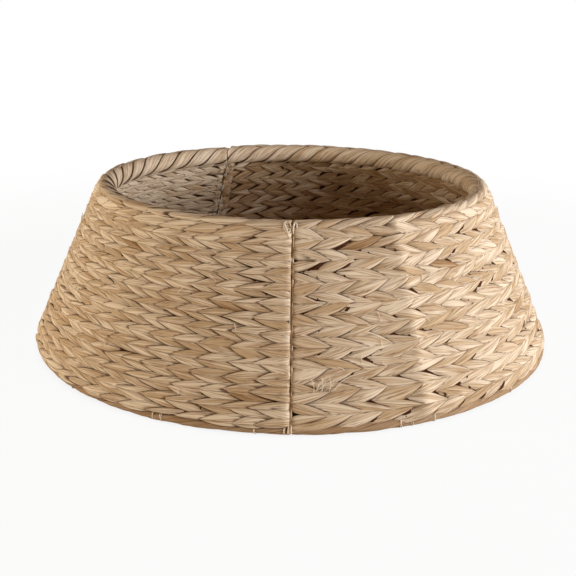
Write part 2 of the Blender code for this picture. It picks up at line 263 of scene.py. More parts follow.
def tape_finish(name, colour, light, pitch, fuzz):
    """Woven tape: ribs across it and fine threads, with a little fuzz."""
    material, tree = start_material(name)
    place = attribute(tree, "strand_place")
    across, along, _ = place.parts()
    weft = tree.reckon("SINE", across * (full_turn / pitch))
    warp = tree.reckon("SINE", along * (full_turn / (pitch * 1.6)))
    hairs = place.stretched((2400, 2400, 2400)).noise(1.0, 3.0, 0.7)
    cloud = place.stretched((90, 90, 90)).noise(1.0)
    height = weft * warp * (0.5 * (1 - fuzz)) + hairs * (0.6 + fuzz)
    level = (height * 0.35 + cloud * 0.6).clamped()
    bump = tree.node("Bump", {}, {"Strength": 0.9, "Distance": 0.0004, "Height": height})
    sockets = {"Base Color": level.tint(colour, light), "Roughness": hairs * 0.2 + 0.7, "Normal": bump}
    close_material(tree, sockets)
    return material


# In the map of a piece: room round a strip and in the whole map, the gap between strips, and a cap's size
strip_room, map_room = 1.06, 1.04
strip_gap, cap_size = 0.0015, 0.0008


class Tubes:
    """The tubes of one piece, each a run of rings of points, with values for its material."""

    def __init__(self):
        self.runs = []

    def add(self, rings, place, shade, closed=False):
        """A tube. Its place and its shade are three values each, the same all over or one at each point."""
        place, shade = (
            np.stack([np.broadcast_to(value, rings.shape[:2]) for value in values], -1)
            for values in (place, shade))
        self.runs.append((rings, place, shade, closed))

    def strips(self):
        """Every tube cut into lengths that fit side by side in a square map."""
        sizes = []
        for rings, _, _, closed in self.runs:
            ahead = np.linalg.norm(np.diff(rings, axis=0), axis=-1).mean(1)
            around = np.linalg.norm(np.diff(rings, axis=1), axis=-1).mean(0).sum()
            steps = len(rings) if closed else len(rings) - 1
            sizes.append((steps, ahead.mean() * steps, around * strip_room))
        side = sqrt(sum(length * width for _, length, width in sizes) * map_room)
        pieces = []
        for index, (steps, length, width) in enumerate(sizes):
            cuts = max(1, int(np.ceil(length / side - 0.02)))
            edges = np.linspace(0, steps, cuts + 1).astype(int)
            pieces += [(width, length * (b - a) / steps, index, a, b) for a, b in zip(edges, edges[1:])]
        return side, sorted(pieces, key=lambda piece: (-piece[0], piece[2], piece[3]))

    def layout(self):
        """Where each length of tube lies in the map: left, right, low and high edges."""
        side, pieces = self.strips()
        widest = max(max(piece[1] for piece in pieces), side)
        shelves, x, y, tall = [], 0.0, 0.0, 0.0
        for width, length, index, first, last in pieces:
            if x and x + length > widest * 1.001:
                x, y, tall = 0.0, y + tall, 0.0
            shelves.append((index, first, last, x, x + length, y, y + width))
            x, tall = x + length, max(tall, width)
        full = y + tall
        reach = max(shelf[4] for shelf in shelves)
        places = {}
        for index, first, last, left, right, low, high in shelves:
            span = (
                left / reach + strip_gap, right / reach - strip_gap,
                low / full + strip_gap, high / full - strip_gap)
            places.setdefault(index, []).append((first, last, span))
        return places

    def build(self, name, material):
        """The tubes as one mesh, with capped ends and a map of its own for baked finishes."""
        places = self.layout()
        corners, points, place, shade, maps, sizes, base = [], [], [], [], [], [], 0
        for index, (rings, where, tones, closed) in enumerate(self.runs):
            count, sides = rings.shape[:2]
            grid = base + np.arange(count * sides).reshape(count, sides)
            steps = count if closed else count - 1
            ahead = np.roll(grid, -1, 0)[:steps] if closed else grid[1:]
            here = grid[:steps]
            quads = np.stack([here, np.roll(here, -1, 1), np.roll(ahead, -1, 1), ahead], -1)
            u = np.empty((steps, 2))
            v = np.empty((steps, sides, 2))
            for first, last, (left, right, low, high) in places[index]:
                along = np.linspace(left, right, last - first + 1)
                around = np.linspace(low, high, sides + 1)
                u[first:last] = np.stack([along[:-1], along[1:]], -1)
                v[first:last] = np.stack([around[:-1], around[1:]], -1)
            start, end = np.repeat(u[:, None, 0], sides, 1), np.repeat(u[:, None, 1], sides, 1)
            low, high = v[..., 0], v[..., 1]
            quad_map = np.stack(
                [np.stack([start, low], -1), np.stack([start, high], -1), np.stack([end, high], -1),
                 np.stack([end, low], -1)], 2)
            corners.append(quads.reshape(-1))
            maps.append(quad_map.reshape(-1, 2))
            sizes.append(np.full(steps * sides, 4))
            if not closed:
                for ring, edge, order in ((grid[0], u[0, 0], -1), (grid[-1], u[-1, 1], 1)):
                    middle = np.array([edge, (v[0, 0, 0] + v[0, -1, 1]) / 2])
                    angles = np.arange(sides) * full_turn / sides
                    patch = middle + cap_size * np.stack([np.cos(angles), np.sin(angles)], -1)
                    corners.append(ring[::order])
                    maps.append(patch[::order].clip(0, 1))
                    sizes.append(np.array([sides]))
            points.append(rings.reshape(-1, 3))
            place.append(where.reshape(-1, 3))
            shade.append(tones.reshape(-1, 3))
            base += count * sides
        piece = mesh_piece(name, *(np.concatenate(part) for part in (points, corners, sizes)), material)
        give_values(piece.data, "strand_place", np.concatenate(place))
        give_values(piece.data, "strand_shade", np.concatenate(shade))
        baking = piece.data.uv_layers.new(name="OFBake").uv
        baking.foreach_set("vector", np.concatenate(maps).astype(np.float32).ravel())
        if signed_volume(piece.data) < 0:
            piece.data.flip_normals()
        return piece


def signed_volume(mesh):
    """The volume that a closed mesh holds, negative if its faces look inward."""
    mesh.calc_loop_triangles()
    points = np.empty(len(mesh.vertices) * 3, np.float32)
    mesh.vertices.foreach_get("co", points)
    triangles = np.empty(len(mesh.loop_triangles) * 3, np.int32)
    mesh.loop_triangles.foreach_get("vertices", triangles)
    a, b, c = points.reshape(-1, 3)[triangles.reshape(-1, 3)].astype(float).transpose(1, 0, 2)
    return float((a * np.cross(b, c)).sum() / 6)


def mesh_piece(name, points, corners, sizes, material):
    """A mesh object from its points and the corners of its faces."""
    mesh = bpy.data.meshes.new(name)
    mesh.vertices.add(len(points))
    mesh.vertices.foreach_set("co", points.astype(np.float32).ravel())
    mesh.loops.add(len(corners))
    mesh.loops.foreach_set("vertex_index", corners.astype(np.int32))
    mesh.polygons.add(len(sizes))
    starts = np.concatenate([[0], np.cumsum(sizes)[:-1]])
    mesh.polygons.foreach_set("loop_start", starts.astype(np.int32))
    mesh.update(calc_edges=True)
    mesh.validate()
    mesh.shade_smooth()
    mesh.materials.append(material)
    piece = bpy.data.objects.new(name, mesh)
    bpy.context.scene.collection.objects.link(piece)
    return piece


def give_values(mesh, name, values):
    """Three values on each point, for the material to read."""
    held = mesh.attributes.new(name, "FLOAT_VECTOR", "POINT").data
    held.foreach_set("vector", values.astype(np.float32).ravel())


def hinge_blend(piece):
    """Bakes the place of a piece that crosses the fold line, which rides on no body."""
    middle = Vector(wall_points(np.array(fold_azimuth), (weave_low + weave_high) / 2, 0.0))
    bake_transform(piece)


def add_piece(scene, tubes, name, finish, body, stands_for=()):
    """Builds tubes as a piece on a body, or over the fold if it has none, in place of some nodes."""
    piece = tubes.build(name, material_for(scene, finish))
    if stands_for:
        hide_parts(*stands_for)
    if body:
        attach(piece, body)
    else:
        hinge_blend(piece)


class WeaveSizes(bpy.types.PropertyGroup):
    """How the walls are woven."""

    broad_rows: bpy.props.IntProperty(
        name="Broad rows", description="Rows of strand on the right panel and flap", default=17,
        min=4, max=40)
    fine_rows: bpy.props.IntProperty(
        name="Fine rows", description="Rows of strand on the left panel", default=25, min=4, max=60)
    thickness: bpy.props.FloatProperty(
        name="Thickness", description="Thickness of the woven wall", default=0.017, unit="LENGTH")
    unevenness: bpy.props.FloatProperty(
        name="Unevenness", description="How far strands wander from an even weave", default=1.0, min=0, max=2)
    ridge: bpy.props.FloatProperty(
        name="Ridge", description="How far the strands stand out over the fold line", default=0.0072,
        unit="LENGTH")


class StrandColours(bpy.types.PropertyGroup):
    """Colours of the dried strands."""

    pale: bpy.props.FloatVectorProperty(
        name="Pale", description="Lightest strands", subtype="COLOR", size=3, default=(0.87, 0.715, 0.515))
    middle: bpy.props.FloatVectorProperty(
        name="Middle", description="Usual strands", subtype="COLOR", size=3, default=(0.60, 0.42, 0.24))
    brown: bpy.props.FloatVectorProperty(
        name="Brown", description="Aged strands and the binding", subtype="COLOR", size=3,
        default=(0.33, 0.175, 0.068))
    # Dark serves both the browning of edges and the painted shade of crevices and hollows
    dark: bpy.props.FloatVectorProperty(
        name="Dark", description="Browned edges and hollows", subtype="COLOR", size=3,
        default=(0.07, 0.022, 0.005))


class StudioSettings(bpy.types.PropertyGroup):
    """Lamps and floor."""

    key: bpy.props.FloatProperty(
        name="Key", description="Strength of the lamp at the right", default=30.0, unit="POWER")
    fill: bpy.props.FloatProperty(
        name="Fill", description="Strength of the lamp at the left", default=56.0, unit="POWER")
    room: bpy.props.FloatProperty(
        name="Room", description="Strength of the light from all sides", default=0.12, min=0)


def colours_of(scene, lighter=0.0, browner=0.0):
    """The four strand colours, some of them shifted."""
    chosen = scene.strand_colours
    pale, middle, brown, dark = map(Vector, (chosen.pale, chosen.middle, chosen.brown, chosen.dark))
    pale, middle = pale.lerp(brown, browner), middle.lerp(brown, browner)
    middle = middle.lerp(pale, lighter)
    return [(*colour, 1.0) for colour in (pale, middle, brown, dark)]


# Pale, middle, brown and dark of the thin twine
twine_colours = [(0.97, 0.86, 0.68, 1), (0.86, 0.72, 0.53, 1), (0.5, 0.32, 0.16, 1), (0.3, 0.17, 0.07, 1)]
# For each wire: its coat, its colour where that is worn, and its roughness
wires = {
    "stake wire": ((0.05, 0.035, 0.025, 1), (0.12, 0.085, 0.06, 1), 0.45),
    "hinge ring wire": ((0.22, 0.19, 0.16, 1), (0.45, 0.40, 0.34, 1), 0.35),
}
# For each tape: its dark and light colours, the pitch of its ribs and its fuzz
tapes = {
    "tab tape": ((0.20, 0.135, 0.08, 1), (0.42, 0.31, 0.20, 1), 0.0016, 0.0),
    "hook tape": ((0.07, 0.05, 0.035, 1), (0.20, 0.15, 0.11, 1), 0.0014, 0.3),
    "loop tape": ((0.12, 0.085, 0.055, 1), (0.30, 0.22, 0.15, 1), 0.0018, 0.9),
}


def material_for(scene, name):
    """A finish by its name, made the first time it is asked for."""
    if name in bpy.data.materials:
        return bpy.data.materials[name]
    fibres = {
        "weave strand": (colours_of(scene), (14, 420, 60), 0.0004),
        "rim strand": (colours_of(scene, lighter=0.1), (12, 380, 60), 0.0004),
        "binding strand": (colours_of(scene, browner=0.7), (12, 500, 60), 0.0004),
        "twine": (twine_colours, (90, 700, 60), 0.0002),
    }
    for maker, finishes in ((fibre_finish, fibres), (wire_finish, wires), (tape_finish, tapes)):
        if name in finishes:
            return maker(name, *finishes[name])
    raise ValueError(f"there is no finish named {name!r}")


Row = namedtuple(
    "Row", "number middle half parted_middle parted_half rise stitches inner_tone plump steep thick proud")


# For each wall and slope of row: a leaf's width, steepness, half thickness and stand-out
leaf_shapes = {
    ("right", 1): (1.42, 1.08, 0.0037, 0.0),
    ("right", -1): (1.42, 1.08, 0.0037, 0.0),
    ("left", 1): (1.52, 0.72, 0.0031, 0.0004),
    ("left", -1): (1.40, 1.08, 0.0029, -0.0002),
}


# Each wall's usual tone for the leaves of its inner face, painted light and shade: pale on the left panel,
# whose inner face is lit, dark on the right panel, whose inner face lies in shade
inner_lit_and_shaded_tones = {"right": 0.14, "left": 1.0}
stitch_past_end = 0.032


class Side:
    """One woven wall: where its rows start and end, and how its stitches lie along it."""

    def __init__(self, name, start, end, stitches, marks, tips, rows, seed):
        self.name = name
        self.start_turn, self.start_shift = start
        self.end_turn, self.end_shift = end
        self.stitches = stitches
        self.marks = marks
        self.tips = tips
        self.hinge_at_end = tips > 0
        self.row_count = rows
        self.seed = seed
        self.hinge_turn = self.end_turn if self.hinge_at_end else self.start_turn
        self.seam_turn = self.start_turn if self.hinge_at_end else self.end_turn

    def turns(self, stitch, radius, stitches=None):
        """Azimuths of stitches on a row of some radius."""
        places = [0.0] + [place for place, _ in self.marks] + [float(stitches or self.stitches)]
        first = self.start_turn + self.start_shift / radius
        last = self.end_turn + self.end_shift / radius
        turns = [first] + [radians(turn) for _, turn in self.marks] + [last]
        within = np.clip(stitch, 0, places[-1])
        return np.interp(within, places, turns) + (stitch - within) * stitch_past_end / radius

    def rows(self):
        """Every row, with the place it gives way to near the hinge, where rows part round the rings."""
        edges = np.linspace(weave_low, weave_high, self.row_count + 1)
        low, high = edges[:-1].copy(), edges[1:].copy()
        marks = [0] + [int(np.abs(edges - slant).argmin()) for slant in ring_slants] + [self.row_count]
        stops = [(weave_low, weave_low)] + [(slant - ring_room, slant + ring_room) for slant in ring_slants]
        stops.append((weave_high, weave_high))
        for (first, last), (below, above) in zip(zip(marks, marks[1:]), zip(stops, stops[1:])):
            lines = np.linspace(below[1], above[0], last - first + 1)
            low[first:last], high[first:last] = lines[:-1], lines[1:]
        made = []
        for number in range(self.row_count):
            rise = 1 if number % 2 == 0 else -1
            shape = leaf_shapes[self.name, rise]
            middle, half = (edges[number] + edges[number + 1]) / 2, (edges[number + 1] - edges[number]) / 2
            parted = ((low[number] + high[number]) / 2, (high[number] - low[number]) / 2)
            made.append(
                Row(number, middle, half, *parted, rise, self.stitches, inner_lit_and_shaded_tones[self.name], *shape))
        return made


steps_per_stitch = 6
turn_steps = 4
strand_sides = 10
# A core strand's half thickness and width, lying flat and on edge, in half rows, and its growth by the hinge
flat_thick, edge_thick = 0.44, 0.5
flat_wide, edge_wide = 1.1, 0.95
wider_by_hinge = 0.12
# Away from the hinge the core strands lie nearer the wall's middle by this share, and are painted dark as the
# shade in the gaps between leaves. By the hinge that painted shade eases to this depth
core_inward = 0.52
core_shade_depth = 0.75
# A core strand's usual tone and its chance, and its length to a stitch and width for the finish
core_tone, chance_core = 0.45, 0.12
core_long, core_wide = 0.034, 0.006
# The left panel's end at the back is round, about the hinge's axis. Its radius, and the room round the axis
nose_radius = 0.0085
axis_room = 0.0004
# The open left panel's outer face: how far it stands off the hinge's axis along the wall, its slope there,
# and the distance out of the wall's middle from which it counts
swung_room = 0.0106
swung_slope = np.tan(radians(30))
swung_lowest = -0.0045
# The outer face by the back hinge and how much it rises close by, the widths that the ridge falls off over,
# how much of its rise is even and how much is a sharp crest, and the seam's small step
hinge_face, hinge_rise = 0.0084, 0.0003
ridge_flanks = (0.036, 0.020)
ridge_even, ridge_sharp = 0.68, 0.32
seam_step = 0.0008
# How far from the hinge rows start to part round the rings, how near it they are kept off the rings' slots,
# over what width that ends, and how far rows wander
parting_reach = 0.05
ring_near, ring_fade = 0.016, 0.004
row_wander = 0.0009


def fixed_stop(normal):
    """How near the back hinge's axis the right panel may come, at a distance out of the wall's middle."""
    seat = np.sqrt(np.maximum((nose_radius + 2 * axis_room) ** 2 - normal**2, axis_room**2))
    swung = swung_room + swung_slope * normal
    return np.where(normal > swung_lowest, np.maximum(seat, swung), seat)


def moving_stop(normal):
    """How far past the back hinge's axis the left panel may reach, as a distance below nought."""
    return axis_room - np.sqrt(np.maximum(nose_radius**2 - normal**2, 0))


def clear_rings(side, row, azimuth, slant, radius):
    """Keeps a row near the back hinge out of the slots that the rings run in."""
    near = smooth((ring_near - np.abs(azimuth - side.hinge_turn) * radius) / ring_fade)
    for ring in ring_slants:
        above = row.parted_middle > ring
        kept = np.maximum(slant, ring + ring_room) if above else np.minimum(slant, ring - ring_room)
        slant = slant + (kept - slant) * near
    return slant


def row_line(side, row, turn, radius, uneven):
    """The middle and half height of a row along the wall."""
    near_hinge = smooth(1 - np.abs(turn - side.hinge_turn) * radius / parting_reach)
    middle = row.middle * (1 - near_hinge) + row.parted_middle * near_hinge
    half = row.half * (1 - near_hinge) + row.parted_half * near_hinge
    wave = np.sin(3.1 * turn + 21 * middle) + 0.7 * np.sin(7.3 * turn - 47 * middle + 2)
    wander = row_wander * uneven * wave * np.clip((0.2 - middle) * 40, 0, 1) * np.clip(middle * 30, 0, 1)
    return middle + wander, half


def bring_home(side, azimuth, slant, normal, radius, sizes):
    """Points of the wall raised over the fold, stepped at the seam, and kept clear of the back hinge."""
    distance = (azimuth - fold_azimuth) * radius
    before, after = ridge_flanks
    crest = np.clip(1 - np.where(distance < 0, -distance / before, distance / after), 0, 1)
    crest = ridge_even * crest + ridge_sharp * crest**5
    normal = normal + sizes.ridge * crest * np.clip(normal / 0.006, 0, 1)
    from_hinge = np.abs(azimuth - side.hinge_turn) * radius
    free = smooth(from_hinge / parting_reach - 0.4)
    normal = np.minimum(normal, hinge_face + hinge_rise * smooth(from_hinge / 0.012) + 0.04 * free)
    slant = off_floor(slant, normal)
    step_out = -seam_step if side.hinge_at_end else seam_step
    normal = normal + step_out * smooth(1 - np.abs(azimuth - side.seam_turn) * radius / 0.02)
    if side.hinge_at_end:
        azimuth = np.minimum(azimuth, side.end_turn - fixed_stop(normal) / radius)
        azimuth = np.maximum(azimuth, side.start_turn + seam_room / radius)
    else:
        azimuth = np.maximum(azimuth, side.start_turn + moving_stop(normal) / radius)
        azimuth = np.minimum(azimuth, side.end_turn - seam_room / radius)
    return wall_points(azimuth, slant, normal)


def twined_row(tubes, side, row, sizes):
    """Two strands twisted round each other along the wall and joined round its end uprights."""
    rng = np.random.default_rng(1000 * side.seed + row.number)
    count = row.stitches
    forward = np.arange(count * steps_per_stitch + 1) / steps_per_stitch
    bend = np.arange(1, turn_steps) / turn_steps
    still = np.ones(len(bend))
    place = np.concatenate([forward, count + bend, count + 1 + forward, 2 * count + 1 + bend])
    stitch = np.concatenate([forward, count * still, count - forward, 0 * still])
    second = np.concatenate([0 * forward, 0 * still, 1 + 0 * forward, still])
    arc = np.concatenate([0 * forward, pi * bend, 0 * forward, -pi * bend])
    radius = section(row.middle, 0.0)[0]
    turn = side.turns(stitch, radius, count)
    middle, half = row_line(side, row, turn, radius, sizes.unevenness)

    phase = pi / 2 - row.rise * pi * stitch + pi * second
    flat_on, edge_on = np.abs(np.sin(phase)), np.abs(np.cos(phase))
    turning = arc != 0
    thin = np.stack([np.cos(phase), np.sin(phase), 0 * phase], -1)
    thin[turning] = np.stack([0 * arc, np.sin(phase) * np.cos(arc), np.sin(arc)], -1)[turning]
    flip = np.where(second > 0, -1, 1)
    broad = np.stack([-np.sin(phase) * flip, np.cos(phase) * flip, 0 * phase], -1)
    broad[turning, 1] = 0
    ends = smooth((count - stitch if side.hinge_at_end else stitch) / 0.5)
    inward = 1 - core_inward * ends
    angle = np.arange(strand_sides) * full_turn / strand_sides - pi
    thick = flat_thick * flat_on + edge_thick * edge_on
    wide = (flat_wide * flat_on + edge_wide * edge_on) * (1 + wider_by_hinge - wider_by_hinge * ends)
    unit = (
        (0.5 * thin)[:, None]
        + thin[:, None] * (thick[:, None] * rounded(angle, 0.6))[..., None]
        + broad[:, None] * (wide[:, None] * np.sin(angle))[..., None]
    )
    wall = sizes.thickness / 2
    slant = middle[:, None] + half[:, None] * unit[..., 0]
    normal = wall * inward[:, None] * unit[..., 1]
    azimuth = turn[:, None] + wall * inward[:, None] * unit[..., 2] / radius
    slant = clear_rings(side, row, azimuth, slant, radius)
    rings = bring_home(side, azimuth, slant, normal, radius, sizes)

    leaf = np.round(place).astype(int)
    apart = (row.number + side.seed * 31) * 0.37 + 0.11 * (leaf % 7)[:, None]
    tones = rng.normal(core_tone, chance_core, leaf.max() + 1)[leaf]
    # The core strands show only in the gaps between leaves, and away from the hinge they are painted dark as
    # shade
    deep = core_shade_depth - core_shade_depth * ends
    lengthwise = (place * core_long)[:, None]
    tubes.add(rings, (lengthwise, angle * core_wide, apart), (tones[:, None], deep[:, None], 0), closed=True)


seam_room = 0.0002
seam_reach = (0.0052, 0.2215)
wall_reach = (weave_low, weave_high)
# A wall's end is rounded to the height of its leaves, which stand a little proud of that
nose_round = 0.0022
nose_height = 0.0085
leaf_face = nose_height + 0.0003
leaf_reach = 0.93
# How far chance changes a leaf: width, length and steepness as shares, bow and place across in half rows,
# place along the row in stitches, its own and that of a run of leaves, lift and creases in metres
chance_width, chance_length, chance_steep = 0.19, 0.09, 0.15
chance_bow, chance_across = 0.16, 0.09
chance_along, chance_run = 0.07, 0.16
chance_lift, chance_crease = 0.00022, 0.00026
# How far a leaf's tip rises and its other end sinks, in its own thicknesses, and how far off the seam they
# first do so in full
tip_rise, tip_sink = 0.96, 0.28
seam_free = 0.028
leaf_tilt = 0.00045
# Widths of painted shade where a leaf goes under the next one and where it meets the next row, and the
# heights over which hollows are painted darker
tucked_shade_width, pressed_shade_width = 0.0016, 0.0009
hollow_shade_bottom, hollow_shade_depth = 0.0005, 0.0050
# How far leaves go past the seam, and on the left panel past the hinge's axis, how far short of that axis
# they stop on the right panel's outer and inner face, and the share of brown ones
past_end, past_left_start = 0.0070, 0.0075
outer_seat, inner_seat = 0.0100, 0.0010
old_leaves = 0.012
# The usual and the least tone of outer leaves, the least of inner ones, and chance's effect on either
outer_tone, outer_least, inner_least, chance_tone = 0.5, 0.17, 0.06, 0.24
# How blunt a leaf's ends are, its least width there, its S-bend, and half its length and width for the finish
leaf_blunt, leaf_least, leaf_sway = 2.05, 0.02, 0.1
leaf_long, leaf_wide = 0.027, 0.0042
leaf_run = np.sin(np.linspace(-1, 1, 15) * 1.35) / sin(1.35)
leaf_round = np.concatenate([np.linspace(-1.66, 1.66, 17), [2.3, pi, 3.98]])


def leaf_line(run, bow, steep):
    """How far a leaf's middle line lies across its row, in half rows, and how wide the leaf is there."""
    inside = np.clip(1 - np.abs(run) ** leaf_blunt, leaf_least, 1)
    return steep * ((1 + leaf_sway) * run - leaf_sway * run**3) + bow * (1 - run**2), inside


def over_rim(slant, normal):
    """Bends what reaches past the rim's middle over the outside of its roll."""
    arm = normal - rim_normal
    over = np.clip((slant - rim_slant) / arm, 0, 1.5)
    bent = (rim_slant + arm * np.sin(over), rim_normal + arm * np.cos(over))
    return np.where(over > 0, bent[0], slant), np.where(over > 0, bent[1], normal)


def wrap_seam(side, azimuth, slant, normal, radius):
    """Bends what reaches past the seam round the wall's end."""
    way = 1 if side.hinge_at_end else -1
    inner = seam_room + nose_round - (azimuth - side.seam_turn) * way * radius
    wrapped = inner > 0
    bent = np.clip(inner / nose_round, 0, pi / 2)
    beyond = np.maximum(inner - nose_round * pi / 2, 0)
    arm = np.maximum(normal - nose_height + nose_round, 0.0003)
    away = seam_room + nose_round - arm * np.sin(bent)
    level = np.maximum(nose_height - nose_round + arm * np.cos(bent) - beyond, 0)
    level = np.where(slant > rim_slant, np.minimum(level, normal), level)
    azimuth = np.where(wrapped, side.seam_turn + way * away / radius, azimuth)
    return azimuth, np.where(wrapped, level, normal)


def leaf_row(tubes, side, row, sizes):
    """The flat leaves that a row shows on both faces: tips on top, their other ends tucked under."""
    rng = np.random.default_rng(2000 * side.seed + row.number)
    count, uneven = row.stitches, sizes.unevenness
    radius = section(row.middle, 0.0)[0]
    run = leaf_run[None, :, None]
    around = leaf_round[None, None, :]
    for face in (1,) if row.middle > weave_high else (1, -1):
        many = count + 1
        chance = np.clip(uneven * rng.normal(size=(6, many, 1, 1)), -2, 2)
        width = row.plump * (1 + chance_width * chance[0])
        reach = leaf_reach * (1 + chance_length * chance[1])
        bow = chance_bow * chance[2]
        steep = row.rise * side.tips * row.steep * (1 + chance_steep * chance[3])
        shift = chance_across * chance[5]
        whole_row = rng.normal()
        runs = drift(rng.normal(size=many), np.arange(many) / 3)[:, None, None]
        stray = uneven * chance_run * (whole_row + runs)
        from_seam = np.arange(many) if side.hinge_at_end else count - np.arange(many)
        stray = stray * np.clip(0.2 + from_seam / 2.5, 0, 1)[:, None, None]
        offset = stray + chance_along * chance[4]
        stitch = np.arange(many)[:, None, None] + offset + side.tips * reach * run
        turn = side.turns(stitch, radius, count)
        middle, half = row_line(side, row, turn, radius, uneven)
        line, inside = leaf_line(run, bow, steep)
        line = line + shift

        crease = rng.normal(size=(2, many, 1, len(leaf_round)))
        crease = uneven * chance_crease * (crease[0] * (1 - run) / 2 + crease[1] * (1 + run) / 2) * inside
        thick = row.thick * inside**0.7
        free = smooth(np.abs(turn - side.seam_turn) * radius / seam_free)
        lift = row.thick * (tip_rise * run - tip_sink) * free + chance_lift * chance[4] + row.proud
        across = line + width * inside * np.sin(around)
        tilt = -leaf_tilt * np.sin(around) * np.sign(steep) * run
        normal = leaf_face - row.thick + lift + tilt + (thick + crease) * rounded(around, 0.85)

        # Painted shade: a dark line where a leaf goes under the one before it, another where it meets the
        # next row, browned edges darkened as the shade between strands, and points painted darker the lower
        # they lie
        width_before, bow_before, steep_before, shift_before, reach_before, offset_before = (
            np.roll(values, side.tips, 0) for values in (width, bow, steep, shift, reach, offset))
        before = (1 + side.tips * (offset - offset_before) + reach * run) / reach_before
        line_before, inside_before = leaf_line(before, bow_before, steep_before)
        off_before = np.abs(across - line_before - shift_before) - width_before * inside_before
        on_before = (before < 1.04) & (inside_before > 1.05 * leaf_least)
        tucked_shade = np.clip(1 - off_before * row.half / tucked_shade_width, 0, 1) * on_before * free
        pressed_shade = np.clip(1 - np.abs(np.abs(across) - 1) * row.half / pressed_shade_width, 0, 1)
        browned_and_shaded = browned_and_shaded_edge(around) * np.ones_like(pressed_shade)
        edge = np.maximum(tucked_shade, np.maximum(0.7 * pressed_shade, browned_and_shaded) * np.clip(3 * inside, 0, 1))
        painted_shade_depth = np.clip((normal - hollow_shade_bottom) / hollow_shade_depth, 0, 1)

        slant = middle + face * half * across
        azimuth = turn + 0 * across
        slant = clear_rings(side, row, azimuth, slant, radius)
        slant, normal = over_rim(slant, normal)
        azimuth, normal = wrap_seam(side, azimuth, slant, normal, radius)
        rings = bring_home(side, azimuth, slant, face * normal, radius, sizes)

        seat = outer_seat if face > 0 else inner_seat
        first = side.start_turn - (past_end if side.hinge_at_end else past_left_start) / radius
        last = side.end_turn + (-seat if side.hinge_at_end else past_end) / radius
        kept = (turn[:, :, 0] > first) & (turn[:, :, 0] < last)
        usual, least = (outer_tone, outer_least) if face > 0 else (row.inner_tone, inner_least)
        tones = np.clip(rng.normal(usual, chance_tone, many), least, 1)
        tones[rng.random(many) < old_leaves] = 0.0
        seeds = rng.random(many) * 40
        for leaf in range(many):
            keep = kept[leaf]
            if keep.sum() < 3:
                continue
            tubes.add(
                rings[leaf][keep], (leaf_run[keep, None] * leaf_long, leaf_round * leaf_wide, seeds[leaf]),
                (tones[leaf], painted_shade_depth[leaf][keep], edge[leaf][keep]))


def woven_wall(scene, side, label, body, stands_for):
    """The rows of one wall, a few to a piece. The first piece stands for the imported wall."""
    rows = side.rows()
    bands = round(len(rows) / 4)
    for band in range(bands):
        tubes = Tubes()
        for row in rows[band * len(rows) // bands : (band + 1) * len(rows) // bands]:
            twined_row(tubes, side, row, scene.weave_sizes)
            leaf_row(tubes, side, row, scene.weave_sizes)
        name = f"{label}_courses_{band + 1}"
        add_piece(scene, tubes, name, "weave strand", body, () if band else stands_for)


def right_side(scene):
    """The wall of the flap and the right panel, woven in one over the fold line."""
    marks = ((0.5, 4.6), (3.5, 23.6), (8.5, 54.8))
    ends = ((0.0, seam_nose), (swing_azimuth, -0.0120))
    return Side("right", *ends, 34, marks, 1, scene.weave_sizes.broad_rows, 3)


def left_side(scene):
    """The wall of the left panel."""
    ends = ((swing_azimuth, 0.0), (full_turn, -seam_nose))
    return Side("left", *ends, 27, (), -1, scene.weave_sizes.fine_rows, 5)


def top_rows(side):
    """The large leaves under the roll of the rim, and those bent over it from outside."""
    # Each is its number, its place and half height, twice, its slope, stitches and inner tone of painted
    # light and shade, and the rest as in leaf_shapes
    under, over = (0.2248, 0.0062), (0.2382, 0.0072)
    if side.name == "right":
        yield Row(40, *under, *under, -1, side.stitches, 0.5, 1.35, 0.95, 0.0035, 0.0)
        yield Row(41, *over, *over, 1, 30, 0.5, 1.2, 0.85, 0.0030, 0.0)
    else:
        yield Row(40, *under, *under, 1, 18, 0.5, 1.5, 0.85, 0.0034, 0.0002)
        yield Row(41, *over, *over, 1, 15, 0.5, 1.15, 0.55, 0.0028, 0.0)


def edge_strand(name, scene, end, body, section_points, reach):
    """A flat strand up a wall's end. Its section is given as distances from the end and out of the wall."""
    along, normal = section_points
    slant = np.linspace(*reach, 60)[:, None]
    normal = normal + 0 * slant
    slant = off_floor(slant, normal)
    turn = end + along / section(slant, normal)[0]
    tubes = Tubes()
    tubes.add(wall_points(turn, slant, normal), (slant, np.arange(len(along)) * 0.001, 0), (0.75, 0.9, 0.1))
    add_piece(scene, tubes, name, "weave strand", body)


def hinge_section():
    """The right wall's end at the back: curved round the hinge's axis on the inner side."""
    angle = np.radians([24, 32, 40, 48, 56, 62, 54, 48, 42, 36, 30, 24])
    reach = np.array([0.0093] * 6 + [0.0106] * 6)
    return -reach * np.cos(angle), -reach * np.sin(angle)


def seam_section(sign):
    """A wall's end at the seam: a narrow strip behind the leaves that wrap round it."""
    half, deep, middle = 0.0012, 0.0066, 0.0015
    angle = np.arange(16) * full_turn / 16
    return sign * (middle + half * rounded(angle, 0.5)), deep * np.sin(angle)


class COLLAR_OT_broad_courses(bpy.types.Operator):
    """Weaves the flap and the right panel with broad strands"""

    bl_idname = "collar.broad_courses"
    bl_label = "Broad Courses"

    def execute(self, context):
        scene = context.scene
        woven_wall(scene, right_side(scene), "broad", None, ("right_weave", "flap_weave"))
        edge_strand("right_hinge_strand", scene, swing_azimuth, "right_panel", hinge_section(), wall_reach)
        edge_strand("flap_seam_strand", scene, 0.0, "flap", seam_section(1), seam_reach)
        return {"FINISHED"}


class COLLAR_OT_fine_courses(bpy.types.Operator):
    """Weaves the left panel with fine strands"""

    bl_idname = "collar.fine_courses"
    bl_label = "Fine Courses"

    def execute(self, context):
        scene = context.scene
        woven_wall(scene, left_side(scene), "fine", "left_panel", ("left_weave",))
        edge_strand("left_seam_strand", scene, full_turn, "left_panel", seam_section(-1), seam_reach)
        return {"FINISHED"}


